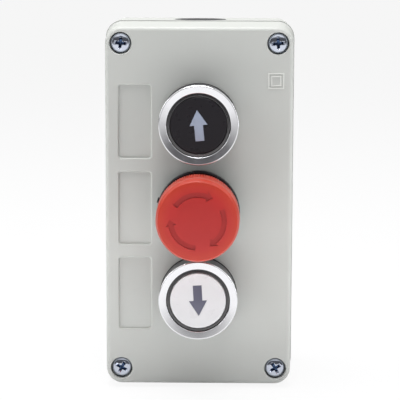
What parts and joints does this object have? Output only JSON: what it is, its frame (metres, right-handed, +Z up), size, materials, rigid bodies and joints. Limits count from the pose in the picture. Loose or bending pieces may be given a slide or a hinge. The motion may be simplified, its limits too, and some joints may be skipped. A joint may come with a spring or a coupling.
{
  "type": "pushbutton control station",
  "caption": "Wall box control station with an up pushbutton, a down pushbutton and a mushroom emergency stop that twists to release.",
  "frame": {"origin": "centre of the flat rear mounting face of the housing", "axes": "+Z up along the column of operators, +Y out of the back into the wall, +X to the right as seen from the front"},
  "size_m": [0.0714, 0.0802, 0.1368],
  "materials": {
    "grey_abs": "fine moulded texture, light grey",
    "black_rubber": "matt black",
    "black_plastic": "smooth black",
    "white_plastic": "smooth white",
    "pale_insert": "pale grey insert",
    "dark_insert": "dark grey insert",
    "red_plastic": "satin red",
    "green_plastic": "satin green",
    "chrome": "satin chrome plate",
    "zinc_steel": "bright zinc plate",
    "cast_zinc": "as cast"
  },
  "bodies": {
    "box": {"rear_housing": "grey_abs", "front_cover": "grey_abs", "cover_gasket": "black_rubber", "cable_entry_grommet": "black_rubber", "cover_screw_top_left": "zinc_steel", "cover_screw_top_right": "zinc_steel", "cover_screw_bottom_left": "zinc_steel", "cover_screw_bottom_right": "zinc_steel", "up_panel_gasket": "black_rubber", "up_bezel": "chrome", "up_guide_sleeve": "black_plastic", "up_return_spring": "zinc_steel", "up_fixing_collar": "cast_zinc", "up_collar_screw_1": "zinc_steel", "up_collar_screw_2": "zinc_steel", "up_contact_block": "green_plastic", "up_terminal_screw_1": "zinc_steel", "up_terminal_screw_2": "zinc_steel", "down_panel_gasket": "black_rubber", "down_bezel": "chrome", "down_guide_sleeve": "black_plastic", "down_return_spring": "zinc_steel", "down_fixing_collar": "cast_zinc", "down_collar_screw_1": "zinc_steel", "down_collar_screw_2": "zinc_steel", "down_contact_block": "green_plastic", "down_terminal_screw_1": "zinc_steel", "down_terminal_screw_2": "zinc_steel", "stop_panel_gasket": "black_rubber", "stop_base": "black_plastic", "stop_spring": "zinc_steel", "stop_fixing_collar": "cast_zinc", "stop_collar_screw_1": "zinc_steel", "stop_collar_screw_2": "zinc_steel", "stop_contact_block": "red_plastic", "stop_terminal_screw_1": "zinc_steel", "stop_terminal_screw_2": "zinc_steel"},
    "up_button": {"up_cap": "black_plastic", "up_arrow": "pale_insert", "up_contact_plunger": "black_plastic"},
    "down_button": {"down_cap": "white_plastic", "down_arrow": "dark_insert", "down_contact_plunger": "black_plastic"},
    "stop_slider": {"stop_stem": "black_plastic", "stop_contact_plunger": "black_plastic"},
    "stop_mushroom": {"stop_head": "red_plastic"}
  },
  "joints": [
    {"name": "up_press", "type": "slide", "parent": "box", "child": "up_button", "axis": [0, 1, 0], "range_m": [0, 0.0045], "stiffness_N_per_m": 900, "springref_m": -0.004, "deforming": ["up_return_spring"]},
    {"name": "down_press", "type": "slide", "parent": "box", "child": "down_button", "axis": [0, 1, 0], "range_m": [0, 0.0045], "stiffness_N_per_m": 900, "springref_m": -0.004, "deforming": ["down_return_spring"]},
    {"name": "stop_press", "type": "slide", "parent": "box", "child": "stop_slider", "axis": [0, 1, 0], "range_m": [0, 0.0055], "deforming": ["stop_spring"]},
    {"name": "stop_twist", "type": "hinge", "parent": "stop_slider", "child": "stop_mushroom", "pos_m": [0, -0.066, 0], "axis": [0, 1, 0], "range_deg": [0, 40], "stiffness_Nm_per_rad": 0.05, "springref_deg": -11.46}
  ]
}
